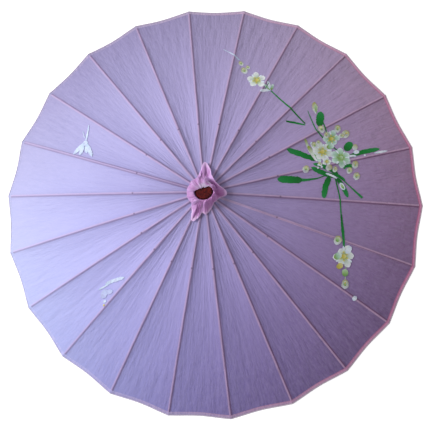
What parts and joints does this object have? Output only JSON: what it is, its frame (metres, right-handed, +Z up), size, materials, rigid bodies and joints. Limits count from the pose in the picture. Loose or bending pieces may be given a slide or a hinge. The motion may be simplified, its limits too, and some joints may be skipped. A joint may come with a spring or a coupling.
{
  "type": "folding parasol",
  "caption": "Open cloth parasol in the pattern of an oil paper umbrella: bamboo ribs and stretchers hinged between a turned notch and a sliding runner, on a wooden shaft with a straight grip.",
  "frame": {"origin": "on the shaft's axis, at the middle of the straight grip", "axes": "+Z up the shaft towards the head, +X towards the first rib, +Y completes a right-handed frame"},
  "size_m": [0.824, 0.8156, 0.5505],
  "materials": {
    "shaft_wood": "clear varnished",
    "handle_wood": "dark red lacquer",
    "head_wood": "dark red lacquer",
    "bamboo": "split and scraped, thin varnish",
    "bamboo_dark": "split and scraped, thin varnish",
    "wire": "drawn",
    "nail": "drawn",
    "spring_steel": "rolled",
    "canopy_cloth": "thin plain weave with a soft sheen",
    "hem_cloth": "folded tape",
    "collar_cloth": "satin",
    "tie_thread": "twisted thread"
  },
  "bodies": {
    "pole": {"shaft": "shaft_wood", "handle": "handle_wood", "handle_cap": "head_wood", "top_notch": "head_wood", "notch_pin": "nail", "top_tie": "wire", "stop_pin": "nail", "catch_nail": "nail", "canopy": "canopy_cloth", "hem": "hem_cloth", "collar": "collar_cloth", "collar_tie": "tie_thread"},
    "rib_01_body": {"rib_01": "bamboo"},
    "stretcher_01_body": {"stretcher_01": "bamboo_dark"},
    "rib_02_body": {"rib_02": "bamboo"},
    "stretcher_02_body": {"stretcher_02": "bamboo_dark"},
    "rib_03_body": {"rib_03": "bamboo"},
    "stretcher_03_body": {"stretcher_03": "bamboo_dark"},
    "rib_04_body": {"rib_04": "bamboo"},
    "stretcher_04_body": {"stretcher_04": "bamboo_dark"},
    "rib_05_body": {"rib_05": "bamboo"},
    "stretcher_05_body": {"stretcher_05": "bamboo_dark"},
    "rib_06_body": {"rib_06": "bamboo"},
    "stretcher_06_body": {"stretcher_06": "bamboo_dark"},
    "rib_07_body": {"rib_07": "bamboo"},
    "stretcher_07_body": {"stretcher_07": "bamboo_dark"},
    "rib_08_body": {"rib_08": "bamboo"},
    "stretcher_08_body": {"stretcher_08": "bamboo_dark"},
    "rib_09_body": {"rib_09": "bamboo"},
    "stretcher_09_body": {"stretcher_09": "bamboo_dark"},
    "rib_10_body": {"rib_10": "bamboo"},
    "stretcher_10_body": {"stretcher_10": "bamboo_dark"},
    "rib_11_body": {"rib_11": "bamboo"},
    "stretcher_11_body": {"stretcher_11": "bamboo_dark"},
    "rib_12_body": {"rib_12": "bamboo"},
    "stretcher_12_body": {"stretcher_12": "bamboo_dark"},
    "rib_13_body": {"rib_13": "bamboo"},
    "stretcher_13_body": {"stretcher_13": "bamboo_dark"},
    "rib_14_body": {"rib_14": "bamboo"},
    "stretcher_14_body": {"stretcher_14": "bamboo_dark"},
    "rib_15_body": {"rib_15": "bamboo"},
    "stretcher_15_body": {"stretcher_15": "bamboo_dark"},
    "rib_16_body": {"rib_16": "bamboo"},
    "stretcher_16_body": {"stretcher_16": "bamboo_dark"},
    "rib_17_body": {"rib_17": "bamboo"},
    "stretcher_17_body": {"stretcher_17": "bamboo_dark"},
    "rib_18_body": {"rib_18": "bamboo"},
    "stretcher_18_body": {"stretcher_18": "bamboo_dark"},
    "rib_19_body": {"rib_19": "bamboo"},
    "stretcher_19_body": {"stretcher_19": "bamboo_dark"},
    "rib_20_body": {"rib_20": "bamboo"},
    "stretcher_20_body": {"stretcher_20": "bamboo_dark"},
    "rib_21_body": {"rib_21": "bamboo"},
    "stretcher_21_body": {"stretcher_21": "bamboo_dark"},
    "rib_22_body": {"rib_22": "bamboo"},
    "stretcher_22_body": {"stretcher_22": "bamboo_dark"},
    "runner_body": {"runner": "head_wood", "runner_tie": "wire"},
    "catch_body": {"catch": "spring_steel"}
  },
  "joints": [
    {"name": "fold", "type": "hinge", "parent": "pole", "child": "rib_01_body", "pos_m": [0.015, 0, 0.471], "axis": [0, 1, 0], "range_deg": [0, 76], "deforming": ["canopy", "hem", "collar"]},
    {"name": "rib_02_hinge", "type": "hinge", "parent": "pole", "child": "rib_02_body", "pos_m": [0.01439, 0.00423, 0.471], "axis": [-0.2817, 0.9595, 0], "range_deg": [0, 76]},
    {"name": "rib_03_hinge", "type": "hinge", "parent": "pole", "child": "rib_03_body", "pos_m": [0.01262, 0.00811, 0.471], "axis": [-0.5406, 0.8413, 0], "range_deg": [0, 76]},
    {"name": "rib_04_hinge", "type": "hinge", "parent": "pole", "child": "rib_04_body", "pos_m": [0.00982, 0.01134, 0.471], "axis": [-0.7557, 0.6549, 0], "range_deg": [0, 76]},
    {"name": "rib_05_hinge", "type": "hinge", "parent": "pole", "child": "rib_05_body", "pos_m": [0.00623, 0.01364, 0.471], "axis": [-0.9096, 0.4154, 0], "range_deg": [0, 76]},
    {"name": "rib_06_hinge", "type": "hinge", "parent": "pole", "child": "rib_06_body", "pos_m": [0.00213, 0.01485, 0.471], "axis": [-0.9898, 0.1423, 0], "range_deg": [0, 76]},
    {"name": "rib_07_hinge", "type": "hinge", "parent": "pole", "child": "rib_07_body", "pos_m": [-0.00213, 0.01485, 0.471], "axis": [-0.9898, -0.1423, 0], "range_deg": [0, 76]},
    {"name": "rib_08_hinge", "type": "hinge", "parent": "pole", "child": "rib_08_body", "pos_m": [-0.00623, 0.01364, 0.471], "axis": [-0.9096, -0.4154, 0], "range_deg": [0, 76]},
    {"name": "rib_09_hinge", "type": "hinge", "parent": "pole", "child": "rib_09_body", "pos_m": [-0.00982, 0.01134, 0.471], "axis": [-0.7557, -0.6549, 0], "range_deg": [0, 76]},
    {"name": "rib_10_hinge", "type": "hinge", "parent": "pole", "child": "rib_10_body", "pos_m": [-0.01262, 0.00811, 0.471], "axis": [-0.5406, -0.8413, 0], "range_deg": [0, 76]},
    {"name": "rib_11_hinge", "type": "hinge", "parent": "pole", "child": "rib_11_body", "pos_m": [-0.01439, 0.00423, 0.471], "axis": [-0.2817, -0.9595, 0], "range_deg": [0, 76]},
    {"name": "rib_12_hinge", "type": "hinge", "parent": "pole", "child": "rib_12_body", "pos_m": [-0.015, 0, 0.471], "axis": [0, -1, 0], "range_deg": [0, 76]},
    {"name": "rib_13_hinge", "type": "hinge", "parent": "pole", "child": "rib_13_body", "pos_m": [-0.01439, -0.00423, 0.471], "axis": [0.2817, -0.9595, 0], "range_deg": [0, 76]},
    {"name": "rib_14_hinge", "type": "hinge", "parent": "pole", "child": "rib_14_body", "pos_m": [-0.01262, -0.00811, 0.471], "axis": [0.5406, -0.8413, 0], "range_deg": [0, 76]},
    {"name": "rib_15_hinge", "type": "hinge", "parent": "pole", "child": "rib_15_body", "pos_m": [-0.00982, -0.01134, 0.471], "axis": [0.7557, -0.6549, 0], "range_deg": [0, 76]},
    {"name": "rib_16_hinge", "type": "hinge", "parent": "pole", "child": "rib_16_body", "pos_m": [-0.00623, -0.01364, 0.471], "axis": [0.9096, -0.4154, 0], "range_deg": [0, 76]},
    {"name": "rib_17_hinge", "type": "hinge", "parent": "pole", "child": "rib_17_body", "pos_m": [-0.00213, -0.01485, 0.471], "axis": [0.9898, -0.1423, 0], "range_deg": [0, 76]},
    {"name": "rib_18_hinge", "type": "hinge", "parent": "pole", "child": "rib_18_body", "pos_m": [0.00213, -0.01485, 0.471], "axis": [0.9898, 0.1423, 0], "range_deg": [0, 76]},
    {"name": "rib_19_hinge", "type": "hinge", "parent": "pole", "child": "rib_19_body", "pos_m": [0.00623, -0.01364, 0.471], "axis": [0.9096, 0.4154, 0], "range_deg": [0, 76]},
    {"name": "rib_20_hinge", "type": "hinge", "parent": "pole", "child": "rib_20_body", "pos_m": [0.00982, -0.01134, 0.471], "axis": [0.7557, 0.6549, 0], "range_deg": [0, 76]},
    {"name": "rib_21_hinge", "type": "hinge", "parent": "pole", "child": "rib_21_body", "pos_m": [0.01262, -0.00811, 0.471], "axis": [0.5406, 0.8413, 0], "range_deg": [0, 76]},
    {"name": "rib_22_hinge", "type": "hinge", "parent": "pole", "child": "rib_22_body", "pos_m": [0.01439, -0.00423, 0.471], "axis": [0.2817, 0.9595, 0], "range_deg": [0, 76]},
    {"name": "stretcher_01_hinge", "type": "hinge", "parent": "rib_01_body", "child": "stretcher_01_body", "pos_m": [0.13909, 0, 0.44912], "axis": [0, 1, 0], "range_deg": [-152, 0]},
    {"name": "stretcher_02_hinge", "type": "hinge", "parent": "rib_02_body", "child": "stretcher_02_body", "pos_m": [0.13345, 0.03918, 0.44912], "axis": [-0.2817, 0.9595, 0], "range_deg": [-152, 0]},
    {"name": "stretcher_03_hinge", "type": "hinge", "parent": "rib_03_body", "child": "stretcher_03_body", "pos_m": [0.11701, 0.0752, 0.44912], "axis": [-0.5406, 0.8413, 0], "range_deg": [-152, 0]},
    {"name": "stretcher_04_hinge", "type": "hinge", "parent": "rib_04_body", "child": "stretcher_04_body", "pos_m": [0.09108, 0.10511, 0.44912], "axis": [-0.7557, 0.6549, 0], "range_deg": [-152, 0]},
    {"name": "stretcher_05_hinge", "type": "hinge", "parent": "rib_05_body", "child": "stretcher_05_body", "pos_m": [0.05778, 0.12652, 0.44912], "axis": [-0.9096, 0.4154, 0], "range_deg": [-152, 0]},
    {"name": "stretcher_06_hinge", "type": "hinge", "parent": "rib_06_body", "child": "stretcher_06_body", "pos_m": [0.01979, 0.13767, 0.44912], "axis": [-0.9898, 0.1423, 0], "range_deg": [-152, 0]},
    {"name": "stretcher_07_hinge", "type": "hinge", "parent": "rib_07_body", "child": "stretcher_07_body", "pos_m": [-0.01979, 0.13767, 0.44912], "axis": [-0.9898, -0.1423, 0], "range_deg": [-152, 0]},
    {"name": "stretcher_08_hinge", "type": "hinge", "parent": "rib_08_body", "child": "stretcher_08_body", "pos_m": [-0.05778, 0.12652, 0.44912], "axis": [-0.9096, -0.4154, 0], "range_deg": [-152, 0]},
    {"name": "stretcher_09_hinge", "type": "hinge", "parent": "rib_09_body", "child": "stretcher_09_body", "pos_m": [-0.09108, 0.10511, 0.44912], "axis": [-0.7557, -0.6549, 0], "range_deg": [-152, 0]},
    {"name": "stretcher_10_hinge", "type": "hinge", "parent": "rib_10_body", "child": "stretcher_10_body", "pos_m": [-0.11701, 0.0752, 0.44912], "axis": [-0.5406, -0.8413, 0], "range_deg": [-152, 0]},
    {"name": "stretcher_11_hinge", "type": "hinge", "parent": "rib_11_body", "child": "stretcher_11_body", "pos_m": [-0.13345, 0.03918, 0.44912], "axis": [-0.2817, -0.9595, 0], "range_deg": [-152, 0]},
    {"name": "stretcher_12_hinge", "type": "hinge", "parent": "rib_12_body", "child": "stretcher_12_body", "pos_m": [-0.13909, 0, 0.44912], "axis": [0, -1, 0], "range_deg": [-152, 0]},
    {"name": "stretcher_13_hinge", "type": "hinge", "parent": "rib_13_body", "child": "stretcher_13_body", "pos_m": [-0.13345, -0.03918, 0.44912], "axis": [0.2817, -0.9595, 0], "range_deg": [-152, 0]},
    {"name": "stretcher_14_hinge", "type": "hinge", "parent": "rib_14_body", "child": "stretcher_14_body", "pos_m": [-0.11701, -0.0752, 0.44912], "axis": [0.5406, -0.8413, 0], "range_deg": [-152, 0]},
    {"name": "stretcher_15_hinge", "type": "hinge", "parent": "rib_15_body", "child": "stretcher_15_body", "pos_m": [-0.09108, -0.10511, 0.44912], "axis": [0.7557, -0.6549, 0], "range_deg": [-152, 0]},
    {"name": "stretcher_16_hinge", "type": "hinge", "parent": "rib_16_body", "child": "stretcher_16_body", "pos_m": [-0.05778, -0.12652, 0.44912], "axis": [0.9096, -0.4154, 0], "range_deg": [-152, 0]},
    {"name": "stretcher_17_hinge", "type": "hinge", "parent": "rib_17_body", "child": "stretcher_17_body", "pos_m": [-0.01979, -0.13767, 0.44912], "axis": [0.9898, -0.1423, 0], "range_deg": [-152, 0]},
    {"name": "stretcher_18_hinge", "type": "hinge", "parent": "rib_18_body", "child": "stretcher_18_body", "pos_m": [0.01979, -0.13767, 0.44912], "axis": [0.9898, 0.1423, 0], "range_deg": [-152, 0]},
    {"name": "stretcher_19_hinge", "type": "hinge", "parent": "rib_19_body", "child": "stretcher_19_body", "pos_m": [0.05778, -0.12652, 0.44912], "axis": [0.9096, 0.4154, 0], "range_deg": [-152, 0]},
    {"name": "stretcher_20_hinge", "type": "hinge", "parent": "rib_20_body", "child": "stretcher_20_body", "pos_m": [0.09108, -0.10511, 0.44912], "axis": [0.7557, 0.6549, 0], "range_deg": [-152, 0]},
    {"name": "stretcher_21_hinge", "type": "hinge", "parent": "rib_21_body", "child": "stretcher_21_body", "pos_m": [0.11701, -0.0752, 0.44912], "axis": [0.5406, 0.8413, 0], "range_deg": [-152, 0]},
    {"name": "stretcher_22_hinge", "type": "hinge", "parent": "rib_22_body", "child": "stretcher_22_body", "pos_m": [0.13345, -0.03918, 0.44912], "axis": [0.2817, 0.9595, 0], "range_deg": [-152, 0]},
    {"name": "runner_hinge", "type": "hinge", "parent": "stretcher_01_body", "child": "runner_body", "pos_m": [0.015, 0, 0.42724], "axis": [0, 1, 0], "range_deg": [0, 76]},
    {"name": "catch_press", "type": "hinge", "parent": "pole", "child": "catch_body", "pos_m": [0.0016, 0, 0.34674], "axis": [0, 1, 0], "range_deg": [0, 5.5], "stiffness_Nm_per_rad": 0.02, "springref_deg": 6.88}
  ],
  "couplings": [
    {"joint": "rib_02_hinge", "follows": "fold", "ratio": 1},
    {"joint": "rib_03_hinge", "follows": "fold", "ratio": 1},
    {"joint": "rib_04_hinge", "follows": "fold", "ratio": 1},
    {"joint": "rib_05_hinge", "follows": "fold", "ratio": 1},
    {"joint": "rib_06_hinge", "follows": "fold", "ratio": 1},
    {"joint": "rib_07_hinge", "follows": "fold", "ratio": 1},
    {"joint": "rib_08_hinge", "follows": "fold", "ratio": 1},
    {"joint": "rib_09_hinge", "follows": "fold", "ratio": 1},
    {"joint": "rib_10_hinge", "follows": "fold", "ratio": 1},
    {"joint": "rib_11_hinge", "follows": "fold", "ratio": 1},
    {"joint": "rib_12_hinge", "follows": "fold", "ratio": 1},
    {"joint": "rib_13_hinge", "follows": "fold", "ratio": 1},
    {"joint": "rib_14_hinge", "follows": "fold", "ratio": 1},
    {"joint": "rib_15_hinge", "follows": "fold", "ratio": 1},
    {"joint": "rib_16_hinge", "follows": "fold", "ratio": 1},
    {"joint": "rib_17_hinge", "follows": "fold", "ratio": 1},
    {"joint": "rib_18_hinge", "follows": "fold", "ratio": 1},
    {"joint": "rib_19_hinge", "follows": "fold", "ratio": 1},
    {"joint": "rib_20_hinge", "follows": "fold", "ratio": 1},
    {"joint": "rib_21_hinge", "follows": "fold", "ratio": 1},
    {"joint": "rib_22_hinge", "follows": "fold", "ratio": 1},
    {"joint": "stretcher_01_hinge", "follows": "fold", "ratio": -2},
    {"joint": "stretcher_02_hinge", "follows": "fold", "ratio": -2},
    {"joint": "stretcher_03_hinge", "follows": "fold", "ratio": -2},
    {"joint": "stretcher_04_hinge", "follows": "fold", "ratio": -2},
    {"joint": "stretcher_05_hinge", "follows": "fold", "ratio": -2},
    {"joint": "stretcher_06_hinge", "follows": "fold", "ratio": -2},
    {"joint": "stretcher_07_hinge", "follows": "fold", "ratio": -2},
    {"joint": "stretcher_08_hinge", "follows": "fold", "ratio": -2},
    {"joint": "stretcher_09_hinge", "follows": "fold", "ratio": -2},
    {"joint": "stretcher_10_hinge", "follows": "fold", "ratio": -2},
    {"joint": "stretcher_11_hinge", "follows": "fold", "ratio": -2},
    {"joint": "stretcher_12_hinge", "follows": "fold", "ratio": -2},
    {"joint": "stretcher_13_hinge", "follows": "fold", "ratio": -2},
    {"joint": "stretcher_14_hinge", "follows": "fold", "ratio": -2},
    {"joint": "stretcher_15_hinge", "follows": "fold", "ratio": -2},
    {"joint": "stretcher_16_hinge", "follows": "fold", "ratio": -2},
    {"joint": "stretcher_17_hinge", "follows": "fold", "ratio": -2},
    {"joint": "stretcher_18_hinge", "follows": "fold", "ratio": -2},
    {"joint": "stretcher_19_hinge", "follows": "fold", "ratio": -2},
    {"joint": "stretcher_20_hinge", "follows": "fold", "ratio": -2},
    {"joint": "stretcher_21_hinge", "follows": "fold", "ratio": -2},
    {"joint": "stretcher_22_hinge", "follows": "fold", "ratio": -2},
    {"joint": "runner_hinge", "follows": "fold", "ratio": 1}
  ]
}
